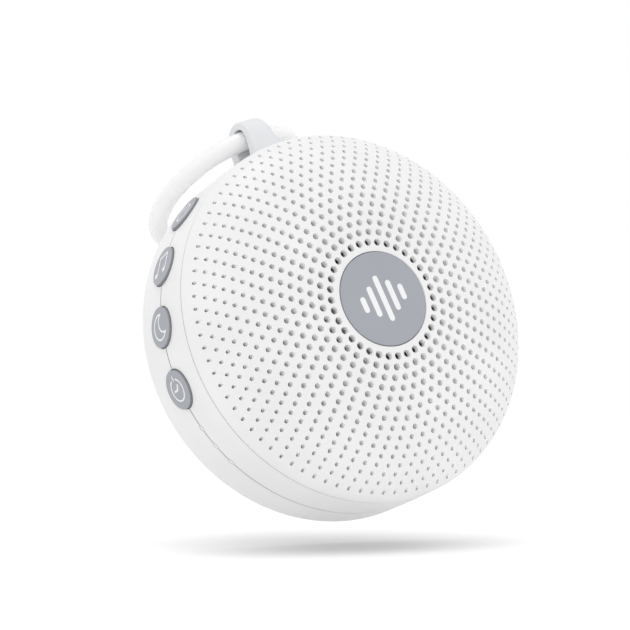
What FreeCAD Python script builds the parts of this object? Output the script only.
import FreeCAD, Part
import math
import os
from FreeCAD import Vector as V

# Portable white noise sound machine. All sizes are in millimetres.
# The row's origin is the middle of the hanging eye. +Z is up, +Y goes to the back, and the grille faces -Y.
# The pieces are first made in disc coordinates, in which the disc's axis is the Y axis and Y = 0 is the
# parting plane between the two housings. They are lowered by EYE_RISE when they are saved.
# An azimuth counts in degrees from +X towards +Z, so 90 is at the hanging eye.

# Housing
HOUSING_R = 47.4
SEAM_INSET = 0.2
SEAM_R = HOUSING_R - SEAM_INSET
SEAM_Y = -11.0
BACK_Y = 19.0
BACK_CORNER_R = 10.6
CORNER_STEPS = 3
INNER_CORNER_STEPS = 2
WALL = 2.0
INNER_R = HOUSING_R - WALL
CLEAR = 0.05
REVEAL = 0.25
OVERCUT = 1.0

# Round pieces are many-sided, so that what is cut into them has straight edges
ROUND_SIDES = 48
SPEAKER_SIDES = 16
BUTTON_SIDES = 20
SMALL_SIDES = 6
STADIUM_STEPS = 4

# Grille
DOME_RISE = 14.45
DOME_POWER = 3.0
DOME_ROUND = 0.55
GRILLE_WALL = 1.8
SKIRT_WALL = 1.8
SKIRT_DEPTH = 1.4
BADGE_LAND = 2.58
EDGE_LAND = 1.7745
STEP_LOSS = 0.0695
FIRST_RING_HOLES = 34
HOLES_MORE = 4
FIRST_HOLE_D = 1.85
HOLE_LOSS = 0.075
FIRST_PHASE = 0.2556
PHASE_STEP = 0.4715
RING_COUNT = 15
RING_SHARE = 3
HOLE_SHARE = 2
DOME_STEPS = 5
INNER_DOME_STEPS = 3

# Badge
BADGE_R = 11.86
BADGE_THICK = 1.4
BADGE_BEVEL = 0.3
HUB_WALL = 1.1
HUB_R = BADGE_R + CLEAR + HUB_WALL
HUB_THICK = 1.4

# Dust cloth
CLOTH_THICK = 0.4
CLOTH_GAP = 0.3

# Hanging eye and ring
EYE_LEG = 5.2
EYE_RISE = HOUSING_R + EYE_LEG
RING_R = 20.77
RING_TUBE_R = 2.45
RING_REST_DEG = 19.0
RING_SIDES = 36
RING_TUBE_SIDES = 10
EYE_ARCH_R = 5.8
EYE_ARCH_DROP = 1.0
EYE_FOOT_HALF = 6.4
EYE_TOP_HALF_WIDTH = 2.8
EYE_FOOT_HALF_WIDTH = 4.0
EYE_HOLE_HALF = 3.2
EYE_HOLE_DROP = 0.2
EYE_PLATE_HALF = 7.2
EYE_PLATE_HALF_WIDTH = 5.2
EYE_PLATE_THICK = 1.2
EYE_PLATE_GAP = 0.5
EYE_CLEAR = 0.1

# Side buttons
BUTTON_R = 5.4
BUTTON_PROUD = 1.0
BUTTON_BEVEL = 0.35
BUTTON_TRAVEL = 0.5
BUTTON_CLEAR = 0.2
BUTTON_FLANGE = 0.8
BUTTON_FLANGE_THICK = 0.8
BUTTON_FLANGE_GAP = 0.1
BUTTON_STEM_HALF = 1.4
BUTTON_STEM = 0.7
BUTTONS = {
    "power_button": 124.0,
    "sound_button": 143.0,
    "soothe_button": 162.0,
    "timer_button": 181.0,
    "volume_up_button": 56.0,
    "volume_down_button": 37.0,
}

# Status windows
WINDOW_AZIMUTHS = (194.0, 200.5, 207.0)
WINDOW_LENGTH = 1.9
WINDOW_HEIGHT = 0.9
GUIDE_LENGTH = 3.6
LED_SIZE = 1.4
LED_GAP = 0.3

# Loudspeaker
SKIRT_GAP = 0.2
BAFFLE_Y = SEAM_Y + SKIRT_DEPTH + SKIRT_GAP
BAFFLE_THICK = 2.0
SPEAKER_OPENING_R = 22.6
GASKET_THICK = 0.6
FLANGE_R = 25.5
FLANGE_THICK = 1.0
BASKET_THROAT_R = 12.0
BASKET_SHEET = 0.8
BASKET_LIP = 3.0
BASKET_WINDOWS = 6
WINDOW_FLOOR = 1.5
WINDOW_HALF = 4.0
WINDOW_LAND = 1.2
SURROUND_OUT_R = 21.4
SURROUND_IN_R = 17.9
SURROUND_SHEET = 0.4
ROLL_STEPS = 3
CONE_GAP = 0.3
CONE_DEPTH = 6.0
CONE_SHEET = 0.5
CAP_RISE = 2.4
CAP_SHOULDER = 0.6
CAP_SHOULDER_DROP = 0.25
COIL_R = 5.0
COIL_WALL = 0.4
COIL_LENGTH = 5.0
COIL_GAP = 0.3
MAGNET_R = 14.0
MAGNET_THICK = 6.0
MAGNET_BACK = 1.6
MAGNET_GAP = 0.8
SPEAKER_SCREW_RING = (SPEAKER_OPENING_R + FLANGE_R) / 2
SPEAKER_SCREW_R = 0.9
SPEAKER_SCREW_HEAD_R = 1.4
SPEAKER_SCREW_HEAD = 1.0
SPEAKER_SCREW_FLOOR = 0.4

# Screws and bosses
BOSS_R = 3.4
BOSS_GAP = 1.1
BOSS_RING = FLANGE_R + BOSS_GAP + BOSS_R
BOSS_AZIMUTHS = (45.0, 135.0, 225.0, 315.0)
BOSS_TO_SPEAKER_SCREW_DEG = 45.0
SCREW_R = 1.0
SCREW_CLEAR = 0.3
PILOT_CLEAR = 0.05
SCREW_HEAD_R = 2.2
SCREW_HEAD = 1.6
SEAT_DEPTH = 6.0
SCREW_SEAT_Y = BACK_Y - SEAT_DEPTH
SCREW_FLOOR = 2.4

# Foot pad
PAD_R = 34.5
PAD_THICK = 1.2
PAD_PROUD = 0.4

# Circuit board
BOARD_Y = 1.7
BOARD_THICK = 1.6
BOARD_INSET = 3.2
BOARD_BAND = 7.9
BOARD_OUT_R = INNER_R - BOARD_INSET
BOARD_IN_R = BOARD_OUT_R - BOARD_BAND
BOARD_GAP_FROM = 246.0
BOARD_GAP_TO = 294.0
POST_INSET = 4.8
POST_RING = BOARD_OUT_R - POST_INSET
POST_R = 2.3
POST_AZIMUTHS = (100.0, 226.0, 316.0)
BOARD_SCREW_R = 0.8
BOARD_SCREW_HEAD_R = 1.7
BOARD_SCREW_HEAD = 1.0
BOARD_SCREW_REACH = 4.0
SWITCH_WIDTH = 6.0
SWITCH_HEIGHT = 3.2
SWITCH_DEPTH = 3.4
PLUNGER_R = 1.0
PLUNGER_GAP = 0.2
SOCKET_AZIMUTH = 335.0
SOCKET_WIDTH = 8.94
SOCKET_HEIGHT = 3.26
SOCKET_DEPTH = 7.3
SOCKET_WALL = 0.3
SOCKET_INSET = 0.3
SOCKET_CLEAR = 0.15
SOCKET_BACK_WALL = 1.0
TONGUE_INSET = 1.0
TONGUE_HALF_THICK = 0.35
TONGUE_HALF_WIDTH = 3.35
CHIP_AZIMUTHS = (70.0, 111.0, 214.0, 350.0)
CHIP_SIDE = 4.6
CHIP_THICK = 1.1
CHIP_INSET = 4.55

# Battery
CELL_WIDTH = 44.0
CELL_HEIGHT = 33.0
CELL_THICK = 6.0
CELL_BEVEL = 1.6
CELL_PAD = 0.8
FENCE_WALL = 1.2
FENCE_DEPTH = 3.0
FENCE_CLEAR = 0.3

Y_AXIS = V(0, 1, 0)
ORIGIN = V(0, 0, 0)


def side_points(radius, y, sides):
    """The corners of one many-sided circle about the disc's axis, or the single point on the axis."""
    if radius == 0:
        return [V(0, y, 0)]
    corners = []
    for i in range(sides):
        angle = 2 * math.pi * (i + 0.5) / sides
        corners.append(V(radius * math.cos(angle), y, radius * math.sin(angle)))
    return corners


def closed_wire(points):
    return Part.makePolygon(points + [points[0]])


def lathe(points, sides=ROUND_SIDES):
    """A many-sided solid about the disc's axis from a closed outline of (radius, Y) points."""
    faces = []
    for i, (r0, y0) in enumerate(points):
        r1, y1 = points[(i + 1) % len(points)]
        if r0 == 0 and r1 == 0:
            continue
        first = side_points(r0, y0, sides)
        second = side_points(r1, y1, sides)
        if y0 == y1:
            wide, narrow = (first, second) if r0 > r1 else (second, first)
            flat = Part.Face(closed_wire(wide))
            if len(narrow) > 1:
                flat = flat.cut(Part.Face(closed_wire(narrow))).Faces[0]
            faces.append(flat)
            continue
        for k in range(sides):
            here, there = k, (k + 1) % sides
            corners = [first[here % len(first)]]
            if len(first) > 1:
                corners.append(first[there])
            if len(second) > 1:
                corners.append(second[there])
            corners.append(second[here % len(second)])
            faces.append(Part.Face(closed_wire(corners)))
    solid = Part.Solid(Part.makeShell(faces))
    if solid.Volume < 0:
        solid.reverse()
    return solid


def curve_points(centre_r, centre_y, radius, from_deg, to_deg, steps):
    """Points along a round of the outline. An angle of 0 points away from the axis and 90 to the back."""
    points = []
    for i in range(steps + 1):
        angle = math.radians(from_deg + (to_deg - from_deg) * i / steps)
        points.append((centre_r + radius * math.cos(angle), centre_y + radius * math.sin(angle)))
    return points


def disc(radius, y0, y1, x=0.0, z=0.0, sides=SMALL_SIDES):
    post = Part.Face(closed_wire(side_points(radius, y0, sides))).extrude(V(0, y1 - y0, 0))
    post.translate(V(x, 0, z))
    return post


def block(x0, x1, y0, y1, z0, z1):
    return Part.makeBox(x1 - x0, y1 - y0, z1 - z0, V(x0, y0, z0))


def at_azimuth(shape, azimuth):
    """A copy of what was made on the +X axis, turned to its azimuth on the disc."""
    turned = shape.copy()
    turned.rotate(ORIGIN, Y_AXIS, -azimuth)
    return turned


def on_ring(radius, azimuth):
    return radius * math.cos(math.radians(azimuth)), radius * math.sin(math.radians(azimuth))


def to_rim(shape):
    """Turn what was made along +Y to lie along +X, which is azimuth 0."""
    turned = shape.copy()
    turned.rotate(ORIGIN, V(0, 0, 1), -90)
    return turned


def radial_rod(radius, r0, r1, sides=SMALL_SIDES):
    return to_rim(disc(radius, r0, r1, 0.0, 0.0, sides))


def dome_y(radius, edge_r, rise):
    """Height of the grille's crowned face: a flat middle that rounds over into the side."""
    share = min(radius / edge_r, 1.0)
    return SEAM_Y - rise * (1.0 - share**DOME_POWER) ** DOME_ROUND


def dome_points(edge_r, rise, from_r, steps):
    """Points on the crown from from_r out to edge_r, closer together near the edge."""
    points = []
    for i in range(steps + 1):
        left = 1.0 - i / steps
        radius = edge_r - (edge_r - from_r) * left**2
        points.append((radius, dome_y(radius, edge_r, rise)))
    return points


def hole_ring(number):
    """Radius, hole diameter, number of holes and first azimuth of a ring of holes, counted from 0."""
    radius = FIRST_RING_R + number * FIRST_RING_STEP - STEP_LOSS * number * (number - 1) / 2.0
    diameter = FIRST_HOLE_D - HOLE_LOSS * number
    count = FIRST_RING_HOLES + HOLES_MORE * number
    phase = (FIRST_PHASE + PHASE_STEP * number) * 360.0 / count
    return radius, diameter, count, phase


def square_rod(diameter, radius, azimuth, y0, y1):
    """A four-sided pin along the disc's axis, turned so that one side faces the middle."""
    half = diameter * math.sqrt(math.pi) / 4.0
    return at_azimuth(block(radius - half, radius + half, y0, y1, -half, half), azimuth)


APEX_Y = SEAM_Y - DOME_RISE
FIRST_RING_R = BADGE_R + BADGE_LAND
LAST_RING_R = SEAM_R - EDGE_LAND
RING_SPAN = LAST_RING_R - FIRST_RING_R
LAST_RING = RING_COUNT - 1
FIRST_RING_STEP = RING_SPAN / LAST_RING + STEP_LOSS * (LAST_RING - 1) / 2.0
SKIRT_OUT_R = INNER_R - CLEAR
SKIRT_IN_R = SKIRT_OUT_R - SKIRT_WALL
SKIRT_Y = SEAM_Y + SKIRT_DEPTH
BADGE_FLOOR_Y = APEX_Y + BADGE_THICK
HUB_Y = BADGE_FLOOR_Y + HUB_THICK
INNER_DOME_R = SKIRT_IN_R
INNER_DOME_RISE = DOME_RISE - GRILLE_WALL


def make_grille():
    """Crowned shell with rings of holes. The holes are bored straight back, along the disc's axis.
    Every second hole of every third ring is cut, as a square of the round hole's area."""
    top = dome_points(SEAM_R - REVEAL, DOME_RISE - REVEAL, BADGE_R + CLEAR, DOME_STEPS)
    inner = dome_points(INNER_DOME_R, INNER_DOME_RISE, HUB_R, INNER_DOME_STEPS)
    skirt = [(SKIRT_OUT_R, SEAM_Y), (SKIRT_OUT_R, SKIRT_Y), (SKIRT_IN_R, SKIRT_Y)]
    hub = [
        (HUB_R, HUB_Y),
        (0, HUB_Y),
        (0, BADGE_FLOOR_Y),
        (BADGE_R + CLEAR, BADGE_FLOOR_Y),
    ]
    shell = lathe(top + skirt + inner[::-1] + hub)
    pins = []
    for number in range(0, RING_COUNT, RING_SHARE):
        radius, diameter, count, phase = hole_ring(number)
        cut_count = count // HOLE_SHARE
        for i in range(cut_count):
            azimuth = phase + i * 360.0 / cut_count
            pins.append(square_rod(diameter, radius, azimuth, APEX_Y - WALL, SKIRT_Y - CLEAR))
    return shell.cut(Part.makeCompound(pins))


def make_badge():
    """Plain flat disc that sits flush in the crown, glued into its recess."""
    face_y = APEX_Y
    plate = [
        (0, face_y),
        (BADGE_R - BADGE_BEVEL, face_y),
        (BADGE_R, face_y + BADGE_BEVEL),
        (BADGE_R, BADGE_FLOOR_Y),
        (0, BADGE_FLOOR_Y),
    ]
    return lathe(plate)


def button_hole():
    return radial_rod(BUTTON_R + BUTTON_CLEAR, INNER_R - WALL, HOUSING_R + WALL, BUTTON_SIDES)


def stadium(width, height, r0, r1):
    """A rounded slot shape, wide along the rim and thin along Y, from r0 to r1 on the +X axis."""
    half = (width - height) / 2.0
    corners = []
    for side in (1, -1):
        for i in range(STADIUM_STEPS + 1):
            angle = math.radians(90.0 - 180.0 * i / STADIUM_STEPS) * side
            along = side * (half + height / 2.0 * math.cos(angle))
            corners.append(V(r0, height / 2.0 * math.sin(angle), along))
    return Part.Face(closed_wire(corners)).extrude(V(r1 - r0, 0, 0))


def lens(length, height, r0, r1):
    """A pointed oval along the rim, whose two sides are shallow arches that meet on the parting line."""
    sharp, full = length / 2.0, height / 2.0
    corners = []
    for side in (-1, 1):
        for share in (-1.0, -0.5, 0.0, 0.5):
            corners.append(V(r0, side * full * (1 - share**2), side * sharp * share))
    return Part.Face(closed_wire(corners)).extrude(V(r1 - r0, 0, 0))


def rim_cuts():
    """Everything that passes through the side at the parting line, shared by both housings."""
    cuts = [at_azimuth(button_hole(), azimuth) for azimuth in BUTTONS.values()]
    for azimuth in WINDOW_AZIMUTHS:
        cuts.append(
            at_azimuth(
                lens(WINDOW_LENGTH + 2 * CLEAR, WINDOW_HEIGHT + 2 * CLEAR, INNER_R - WALL, HOUSING_R + WALL),
                azimuth,
            )
        )
    socket = stadium(
        SOCKET_WIDTH + 2 * SOCKET_CLEAR, SOCKET_HEIGHT + 2 * SOCKET_CLEAR, INNER_R - WALL, HOUSING_R + WALL
    )
    cuts.append(at_azimuth(socket, SOCKET_AZIMUTH))
    half_x = EYE_FOOT_HALF_WIDTH + EYE_CLEAR
    half_y = EYE_FOOT_HALF + EYE_CLEAR
    cuts.append(block(-half_x, half_x, -half_y, half_y, INNER_R - WALL, HOUSING_R + WALL))
    return Part.makeCompound(cuts)


GASKET_Y = BAFFLE_Y + BAFFLE_THICK
FLANGE_Y = GASKET_Y + GASKET_THICK
CELL_BACK_Y = BACK_Y - WALL - CELL_PAD
CELL_FRONT_Y = CELL_BACK_Y - CELL_THICK
THROAT_Y = CELL_FRONT_Y - MAGNET_GAP - MAGNET_THICK
SCREW_TIP_Y = GASKET_Y + SCREW_FLOOR
PILOT_FLOOR_Y = BAFFLE_Y + SPEAKER_SCREW_FLOOR


def speaker_screw_holes(radius, y0, y1):
    rods = []
    for azimuth in BOSS_AZIMUTHS:
        x, z = on_ring(SPEAKER_SCREW_RING, azimuth + BOSS_TO_SPEAKER_SCREW_DEG)
        rods.append(disc(radius, y0, y1, x, z))
    return Part.makeCompound(rods)


def make_front_housing():
    """Side band with the loudspeaker's baffle and four screw bosses."""
    baffle_back = BAFFLE_Y + BAFFLE_THICK
    body = lathe(
        [
            (SEAM_R - REVEAL, SEAM_Y),
            (SEAM_R, SEAM_Y + REVEAL),
            (HOUSING_R, -REVEAL / 2),
            (HOUSING_R - REVEAL / 2, 0),
            (INNER_R, 0),
            (INNER_R, baffle_back),
            (SPEAKER_OPENING_R, baffle_back),
            (SPEAKER_OPENING_R, BAFFLE_Y),
            (INNER_R, BAFFLE_Y),
            (INNER_R, SEAM_Y),
        ]
    )
    bosses = []
    pilots = []
    for azimuth in BOSS_AZIMUTHS:
        x, z = on_ring(BOSS_RING, azimuth)
        bosses.append(disc(BOSS_R, baffle_back, 0, x, z))
        pilots.append(disc(SCREW_R + PILOT_CLEAR, SCREW_TIP_Y - PILOT_CLEAR, OVERCUT, x, z))
    pilots.append(speaker_screw_holes(SPEAKER_SCREW_R + PILOT_CLEAR, PILOT_FLOOR_Y, baffle_back + OVERCUT))
    return body.multiFuse(bosses).cut(Part.makeCompound(pilots)).cut(rim_cuts())


def make_rear_housing():
    """Round-cornered cup with screw bosses, board posts, a battery fence and a recess for the foot pad."""
    corner_r = HOUSING_R - BACK_CORNER_R
    corner_y = BACK_Y - BACK_CORNER_R
    inner_corner = BACK_CORNER_R - WALL
    inner_y = BACK_Y - WALL
    recess_y = BACK_Y - PAD_THICK + PAD_PROUD
    recess_r = PAD_R + CLEAR
    inside = curve_points(corner_r, corner_y, inner_corner, 90, 0, INNER_CORNER_STEPS)
    outside = curve_points(corner_r, corner_y, BACK_CORNER_R, 0, 90, CORNER_STEPS)
    rim = [(INNER_R, 0), (HOUSING_R - REVEAL / 2, 0), (HOUSING_R, REVEAL / 2)]
    recess = [(recess_r, BACK_Y), (recess_r, recess_y), (0, recess_y)]
    cup = lathe([(0, inner_y)] + inside + rim + outside + recess)
    added = []
    bored = []
    for azimuth in BOSS_AZIMUTHS:
        x, z = on_ring(BOSS_RING, azimuth)
        added.append(disc(BOSS_R, 0, inner_y + WALL / 4, x, z))
        bored.append(disc(SCREW_R + SCREW_CLEAR, -OVERCUT, BACK_Y, x, z))
        bored.append(disc(SCREW_HEAD_R + SCREW_CLEAR, SCREW_SEAT_Y, BACK_Y, x, z))
    for azimuth in POST_AZIMUTHS:
        x, z = on_ring(POST_RING, azimuth)
        added.append(disc(POST_R, BOARD_Y + BOARD_THICK, inner_y + WALL / 4, x, z))
        bored.append(disc(BOARD_SCREW_R + PILOT_CLEAR, BOARD_Y, inner_y - WALL, x, z))
    half_x = CELL_WIDTH / 2 + FENCE_CLEAR
    half_z = CELL_HEIGHT / 2 + FENCE_CLEAR
    fence_y = inner_y - FENCE_DEPTH
    fence_end = half_x - 2 * BOSS_R
    for side in (-1, 1):
        z0, z1 = sorted((side * half_z, side * (half_z + FENCE_WALL)))
        added.append(block(-fence_end, fence_end, fence_y, inner_y + WALL / 4, z0, z1))
        x0, x1 = sorted((side * half_x, side * (half_x + FENCE_WALL)))
        added.append(block(x0, x1, fence_y, inner_y + WALL / 4, -half_z / 2, half_z / 2))
    return cup.multiFuse(added).cut(Part.makeCompound(bored)).cut(rim_cuts())


def make_hanging_eye():
    """Arched bracket on the rim. Its foot passes through the wall and a plate behind holds it."""
    floor = HOUSING_R - EYE_RISE
    arch_z = -EYE_ARCH_DROP
    plate_top = INNER_R - EYE_PLATE_GAP - EYE_RISE
    outline = [
        Part.Arc(V(0, -EYE_ARCH_R, arch_z), V(0, 0, arch_z + EYE_ARCH_R), V(0, EYE_ARCH_R, arch_z)).toShape(),
        Part.makeLine(V(0, EYE_ARCH_R, arch_z), V(0, EYE_FOOT_HALF, floor)),
        Part.makeLine(V(0, EYE_FOOT_HALF, floor), V(0, EYE_FOOT_HALF, plate_top)),
        Part.makeLine(V(0, EYE_FOOT_HALF, plate_top), V(0, -EYE_FOOT_HALF, plate_top)),
        Part.makeLine(V(0, -EYE_FOOT_HALF, plate_top), V(0, -EYE_FOOT_HALF, floor)),
        Part.makeLine(V(0, -EYE_FOOT_HALF, floor), V(0, -EYE_ARCH_R, arch_z)),
    ]
    wide = EYE_FOOT_HALF_WIDTH
    body = Part.Face(Part.Wire(outline)).extrude(V(2 * wide, 0, 0))
    body.translate(V(-wide, 0, 0))
    top = arch_z + EYE_ARCH_R
    taper = Part.makePolygon(
        [
            V(-wide, -EYE_FOOT_HALF, plate_top),
            V(wide, -EYE_FOOT_HALF, plate_top),
            V(wide, -EYE_FOOT_HALF, floor),
            V(EYE_TOP_HALF_WIDTH, -EYE_FOOT_HALF, top),
            V(-EYE_TOP_HALF_WIDTH, -EYE_FOOT_HALF, top),
            V(-wide, -EYE_FOOT_HALF, floor),
            V(-wide, -EYE_FOOT_HALF, plate_top),
        ]
    )
    body = body.common(Part.Face(taper).extrude(V(0, 2 * EYE_FOOT_HALF, 0)))
    hole_z = -EYE_HOLE_DROP
    hole_top = V(-wide, 0, hole_z + EYE_HOLE_HALF)
    hole_outline = [
        Part.Arc(V(-wide, -EYE_HOLE_HALF, hole_z), hole_top, V(-wide, EYE_HOLE_HALF, hole_z)).toShape(),
        Part.makeLine(V(-wide, EYE_HOLE_HALF, hole_z), V(-wide, EYE_HOLE_HALF, floor)),
        Part.makeLine(V(-wide, EYE_HOLE_HALF, floor), V(-wide, -EYE_HOLE_HALF, floor)),
        Part.makeLine(V(-wide, -EYE_HOLE_HALF, floor), V(-wide, -EYE_HOLE_HALF, hole_z)),
    ]
    body = body.cut(Part.Face(Part.Wire(hole_outline)).extrude(V(2 * wide, 0, 0)))
    plate = block(
        -EYE_PLATE_HALF_WIDTH,
        EYE_PLATE_HALF_WIDTH,
        -EYE_PLATE_HALF,
        EYE_PLATE_HALF,
        plate_top - EYE_PLATE_THICK,
        plate_top,
    )
    eye = body.fuse(plate).removeSplitter()
    eye.translate(V(0, 0, EYE_RISE))
    return eye


def make_hanging_ring():
    """Closed ring of round section through the eye. It lies back on the rear corner of the housing."""
    ring = lathe(curve_points(RING_R, 0, RING_TUBE_R, 0, 360, RING_TUBE_SIDES)[:-1], RING_SIDES)
    ring.translate(V(0, 0, RING_R))
    ring.rotate(ORIGIN, V(1, 0, 0), -90 - RING_REST_DEG)
    ring.translate(V(0, 0, EYE_RISE))
    return ring


FLANGE_OUT_R = math.sqrt(INNER_R**2 - (BUTTON_R + BUTTON_FLANGE) ** 2) - BUTTON_FLANGE_GAP
BUTTON_STEM_TIP = FLANGE_OUT_R - BUTTON_FLANGE_THICK - BUTTON_STEM
PLUNGER_TIP = BUTTON_STEM_TIP - BUTTON_TRAVEL - PLUNGER_GAP


def make_button():
    """Round cap with a bevelled face, two tabs behind the wall and a stem for the switch."""
    flange_r1 = FLANGE_OUT_R
    flange_r0 = flange_r1 - BUTTON_FLANGE_THICK
    face_r = HOUSING_R + BUTTON_PROUD
    cap = to_rim(
        lathe(
            [
                (0, flange_r0),
                (BUTTON_R, flange_r0),
                (BUTTON_R, face_r - BUTTON_BEVEL),
                (BUTTON_R - BUTTON_BEVEL, face_r),
                (0, face_r),
            ],
            BUTTON_SIDES,
        )
    )
    reach = BUTTON_R + BUTTON_FLANGE
    tabs = block(flange_r0, flange_r1, -BUTTON_STEM_HALF, BUTTON_STEM_HALF, -reach, reach)
    half = BUTTON_STEM_HALF
    stem = block(flange_r0 - BUTTON_STEM, flange_r0, -half, half, -half, half)
    return cap.multiFuse([tabs, stem])


def make_tact_switches():
    """Side-pushed switches on the board's rim, one behind each button."""
    body_out = BOARD_OUT_R - PLUNGER_GAP
    half = SWITCH_WIDTH / 2
    body = block(body_out - SWITCH_DEPTH, body_out, BOARD_Y - SWITCH_HEIGHT, BOARD_Y, -half, half)
    switch = body.fuse(radial_rod(PLUNGER_R, body_out - SWITCH_DEPTH / 2, PLUNGER_TIP))
    return Part.makeCompound([at_azimuth(switch, azimuth) for azimuth in BUTTONS.values()])


def make_light_guides():
    outer = HOUSING_R - CLEAR
    guide = lens(WINDOW_LENGTH, WINDOW_HEIGHT, outer - GUIDE_LENGTH, outer)
    return Part.makeCompound([at_azimuth(guide, azimuth) for azimuth in WINDOW_AZIMUTHS])


def make_status_leds():
    """Small side-firing lamps that stand on the board behind the light guides."""
    front = HOUSING_R - CLEAR - GUIDE_LENGTH - LED_GAP
    led = block(front - LED_SIZE, front, -WINDOW_HEIGHT / 2, BOARD_Y, -LED_SIZE / 2, LED_SIZE / 2)
    return Part.makeCompound([at_azimuth(led, azimuth) for azimuth in WINDOW_AZIMUTHS])


def make_main_board():
    """C-shaped circuit board behind the parting plane, on three posts of the rear housing."""
    y1 = BOARD_Y + BOARD_THICK
    board = lathe([(BOARD_IN_R, BOARD_Y), (BOARD_OUT_R, BOARD_Y), (BOARD_OUT_R, y1), (BOARD_IN_R, y1)])
    reach = 2 * BOARD_OUT_R
    mouth = [V(0, BOARD_Y - OVERCUT, 0)]
    for azimuth in (BOARD_GAP_FROM, BOARD_GAP_TO):
        x, z = on_ring(reach, azimuth)
        mouth.append(V(x, BOARD_Y - OVERCUT, z))
    mouth.append(mouth[0])
    board = board.cut(Part.Face(Part.makePolygon(mouth)).extrude(V(0, BOARD_THICK + 2 * OVERCUT, 0)))
    holes = []
    for azimuth in POST_AZIMUTHS:
        x, z = on_ring(POST_RING, azimuth)
        holes.append(disc(BOARD_SCREW_R + PILOT_CLEAR, BOARD_Y - OVERCUT, y1 + OVERCUT, x, z))
    return board.cut(Part.makeCompound(holes))


def make_board_screws():
    screws = []
    for azimuth in POST_AZIMUTHS:
        x, z = on_ring(POST_RING, azimuth)
        head = disc(BOARD_SCREW_HEAD_R, BOARD_Y - BOARD_SCREW_HEAD, BOARD_Y, x, z)
        tip = BOARD_Y + BOARD_THICK + BOARD_SCREW_REACH
        shank = disc(BOARD_SCREW_R, BOARD_Y - BOARD_SCREW_HEAD, tip, x, z)
        screws.append(head.fuse(shank))
    return Part.makeCompound(screws)


def make_board_chips():
    """Sound chip, amplifier, charging chip and memory on the front of the board."""
    middle = BOARD_OUT_R - CHIP_INSET
    half = CHIP_SIDE / 2
    chip = block(middle - half, middle + half, BOARD_Y - CHIP_THICK, BOARD_Y, -half, half)
    return Part.makeCompound([at_azimuth(chip, azimuth) for azimuth in CHIP_AZIMUTHS])


def make_charge_socket():
    """Stadium-shaped charging socket shell with a contact tongue."""
    mouth = HOUSING_R - SOCKET_INSET
    back = mouth - SOCKET_DEPTH
    shell = stadium(SOCKET_WIDTH, SOCKET_HEIGHT, back, mouth)
    floor = back + SOCKET_BACK_WALL
    inside = stadium(SOCKET_WIDTH - 2 * SOCKET_WALL, SOCKET_HEIGHT - 2 * SOCKET_WALL, floor, mouth + OVERCUT)
    tongue = block(
        floor - SOCKET_BACK_WALL / 2,
        mouth - TONGUE_INSET,
        -TONGUE_HALF_THICK,
        TONGUE_HALF_THICK,
        -TONGUE_HALF_WIDTH,
        TONGUE_HALF_WIDTH,
    )
    return at_azimuth(shell.cut(inside).fuse(tongue), SOCKET_AZIMUTH)




def make_speaker_gasket():
    ring = lathe(
        [
            (SPEAKER_OPENING_R, GASKET_Y),
            (FLANGE_R, GASKET_Y),
            (FLANGE_R, FLANGE_Y),
            (SPEAKER_OPENING_R, FLANGE_Y),
        ],
        SPEAKER_SIDES,
    )
    hole_r = SPEAKER_SCREW_R + SCREW_CLEAR
    return ring.cut(speaker_screw_holes(hole_r, GASKET_Y - OVERCUT, FLANGE_Y + OVERCUT))


def make_speaker_basket():
    """Pressed frame: a flat flange, a conical cage with windows and a plate over the magnet."""
    flange_back = FLANGE_Y + FLANGE_THICK
    basket = lathe(
        [
            (SURROUND_OUT_R, FLANGE_Y),
            (FLANGE_R, FLANGE_Y),
            (FLANGE_R, flange_back),
            (SURROUND_OUT_R + BASKET_SHEET, flange_back),
            (BASKET_THROAT_R + BASKET_SHEET, THROAT_Y),
            (BASKET_THROAT_R - BASKET_LIP, THROAT_Y),
            (BASKET_THROAT_R - BASKET_LIP, THROAT_Y - BASKET_SHEET),
            (BASKET_THROAT_R, THROAT_Y - BASKET_SHEET),
            (SURROUND_OUT_R, flange_back),
        ],
        SPEAKER_SIDES,
    )
    window = block(
        BASKET_THROAT_R + WINDOW_FLOOR,
        FLANGE_R + OVERCUT,
        flange_back + WINDOW_LAND,
        THROAT_Y - BASKET_SHEET - WINDOW_LAND,
        -WINDOW_HALF,
        WINDOW_HALF,
    )
    turns = [at_azimuth(window, i * 360.0 / BASKET_WINDOWS) for i in range(BASKET_WINDOWS)]
    holes = speaker_screw_holes(SPEAKER_SCREW_R + SCREW_CLEAR, FLANGE_Y - OVERCUT, flange_back + OVERCUT)
    return basket.cut(Part.makeCompound(turns)).cut(holes)


def make_speaker_screws():
    screws = []
    seat = FLANGE_Y + FLANGE_THICK
    top = seat + SPEAKER_SCREW_HEAD
    for azimuth in BOSS_AZIMUTHS:
        x, z = on_ring(SPEAKER_SCREW_RING, azimuth + BOSS_TO_SPEAKER_SCREW_DEG)
        shank = disc(SPEAKER_SCREW_R, PILOT_FLOOR_Y + CLEAR, top, x, z)
        screws.append(shank.fuse(disc(SPEAKER_SCREW_HEAD_R, seat, top, x, z)))
    return Part.makeCompound(screws)


def make_speaker_surround():
    """Rubber half roll between the flange and the cone."""
    middle = (SURROUND_OUT_R + SURROUND_IN_R) / 2
    roll = (SURROUND_OUT_R - SURROUND_IN_R) / 2 - SURROUND_SHEET
    back = FLANGE_Y + SURROUND_SHEET
    over = curve_points(middle, FLANGE_Y, roll, -180, 0, ROLL_STEPS)
    under = curve_points(middle, back, roll - SURROUND_SHEET, 0, -180, ROLL_STEPS)
    outline = [(SURROUND_IN_R, FLANGE_Y)] + over + [(SURROUND_OUT_R, FLANGE_Y), (SURROUND_OUT_R, back)]
    return lathe(outline + under + [(SURROUND_IN_R, back)], SPEAKER_SIDES)


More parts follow.
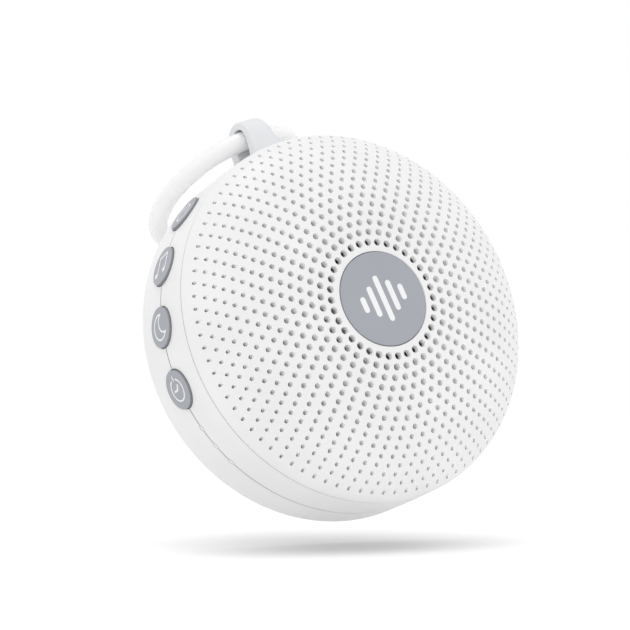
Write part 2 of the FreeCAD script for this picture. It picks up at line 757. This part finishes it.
CONE_EDGE_R = SURROUND_IN_R - CONE_GAP
CONE_NECK_R = COIL_R + COIL_WALL
CONE_NECK_Y = FLANGE_Y + CONE_DEPTH


def make_speaker_cone():
    return lathe(
        [
            (CONE_EDGE_R, FLANGE_Y),
            (CONE_EDGE_R, FLANGE_Y + CONE_SHEET),
            (CONE_NECK_R + CONE_SHEET, CONE_NECK_Y + CONE_SHEET),
            (CONE_NECK_R, CONE_NECK_Y + CONE_SHEET),
            (CONE_NECK_R, CONE_NECK_Y),
        ],
        SPEAKER_SIDES,
    )


def make_dust_cap():
    """Small dome over the coil, glued on the cone's neck."""
    rim_r = CONE_NECK_R - CLEAR
    top = CONE_NECK_Y - CAP_RISE
    under = top + CONE_SHEET
    middle_r = CAP_SHOULDER * rim_r
    drop = CAP_SHOULDER_DROP * CAP_RISE
    return lathe(
        [
            (0, top),
            (middle_r, top + drop),
            (rim_r, CONE_NECK_Y),
            (rim_r - CONE_SHEET, CONE_NECK_Y),
            (middle_r - CONE_SHEET, under + drop),
            (0, under),
        ],
        SPEAKER_SIDES,
    )


def make_voice_coil():
    y0 = CONE_NECK_Y + CLEAR
    y1 = y0 + COIL_LENGTH
    outer = COIL_R + COIL_WALL - CLEAR
    return lathe([(COIL_R, y0), (outer, y0), (outer, y1), (COIL_R, y1)], SPEAKER_SIDES)


def make_speaker_magnet():
    """Ring magnet, back plate and pole piece, with the coil's gap between ring and pole."""
    y0 = THROAT_Y
    y1 = y0 + MAGNET_THICK
    gap_y = y1 - MAGNET_BACK
    pole_r = COIL_R - COIL_GAP
    ring_r = COIL_R + COIL_WALL + COIL_GAP
    return lathe(
        [
            (0, y0),
            (pole_r, y0),
            (pole_r, gap_y),
            (ring_r, gap_y),
            (ring_r, y0),
            (MAGNET_R, y0),
            (MAGNET_R, y1),
            (0, y1),
        ],
        SPEAKER_SIDES,
    )


def make_grille_cloth():
    """Thin dust cloth behind the holes, stretched flat over the baffle."""
    ring_r = SKIRT_IN_R - CLOTH_GAP
    front_y = BAFFLE_Y - CLOTH_THICK
    return lathe([(0, front_y), (ring_r, front_y), (ring_r, BAFFLE_Y), (0, BAFFLE_Y)], SPEAKER_SIDES)


def make_battery_cell():
    """Flat rechargeable cell with bevelled long edges, in a fence on the rear wall."""
    cell = block(
        -CELL_WIDTH / 2, CELL_WIDTH / 2, CELL_FRONT_Y, CELL_BACK_Y, -CELL_HEIGHT / 2, CELL_HEIGHT / 2
    )
    long_edges = [e for e in cell.Edges if abs(e.BoundBox.XLength - CELL_WIDTH) < CLEAR]
    return cell.makeChamfer(CELL_BEVEL, long_edges)


def make_battery_pad():
    inset = CELL_BEVEL
    return block(
        inset - CELL_WIDTH / 2,
        CELL_WIDTH / 2 - inset,
        CELL_BACK_Y,
        CELL_BACK_Y + CELL_PAD,
        inset - CELL_HEIGHT / 2,
        CELL_HEIGHT / 2 - inset,
    )


def make_housing_screws():
    screws = []
    for azimuth in BOSS_AZIMUTHS:
        x, z = on_ring(BOSS_RING, azimuth)
        shank = disc(SCREW_R, SCREW_TIP_Y, SCREW_SEAT_Y + SCREW_HEAD, x, z)
        screws.append(shank.fuse(disc(SCREW_HEAD_R, SCREW_SEAT_Y, SCREW_SEAT_Y + SCREW_HEAD, x, z)))
    return Part.makeCompound(screws)


def make_foot_pad():
    """Soft round pad in the back, which the machine lies on and which covers the screws."""
    y0 = BACK_Y - PAD_THICK + PAD_PROUD
    y1 = BACK_Y + PAD_PROUD
    return lathe([(0, y0), (PAD_R, y0), (PAD_R, y1 - PAD_PROUD / 2), (PAD_R - PAD_PROUD / 2, y1), (0, y1)])


def save(name, shape):
    """Lower a piece from disc coordinates to the eye's and write it, after a count of its solids."""
    placed = shape.copy()
    placed.translate(V(0, 0, -EYE_RISE))
    solids = placed.Solids
    whole = solids[0] if len(solids) == 1 else Part.makeCompound(solids)
    whole.exportStep("parts/" + name + ".step")
    state = "ok" if whole.isValid() else "NOT VALID"
    print(name, len(solids), "solids", round(whole.Volume, 1), "mm3", state)


os.makedirs("parts", exist_ok=True)
save("grille", make_grille())
save("badge", make_badge())
save("grille_cloth", make_grille_cloth())
save("front_housing", make_front_housing())
save("rear_housing", make_rear_housing())
save("hanging_eye", make_hanging_eye())
save("hanging_ring", make_hanging_ring())
for button_name, button_azimuth in BUTTONS.items():
    save(button_name, at_azimuth(make_button(), button_azimuth))
save("tact_switches", make_tact_switches())
save("light_guides", make_light_guides())
save("status_leds", make_status_leds())
save("main_board", make_main_board())
save("board_screws", make_board_screws())
save("board_chips", make_board_chips())
save("charge_socket", make_charge_socket())
save("speaker_gasket", make_speaker_gasket())
save("speaker_basket", make_speaker_basket())
save("speaker_screws", make_speaker_screws())
save("speaker_surround", make_speaker_surround())
save("speaker_cone", make_speaker_cone())
save("dust_cap", make_dust_cap())
save("voice_coil", make_voice_coil())
save("speaker_magnet", make_speaker_magnet())
save("battery_cell", make_battery_cell())
save("battery_pad", make_battery_pad())
save("housing_screws", make_housing_screws())
save("foot_pad", make_foot_pad())
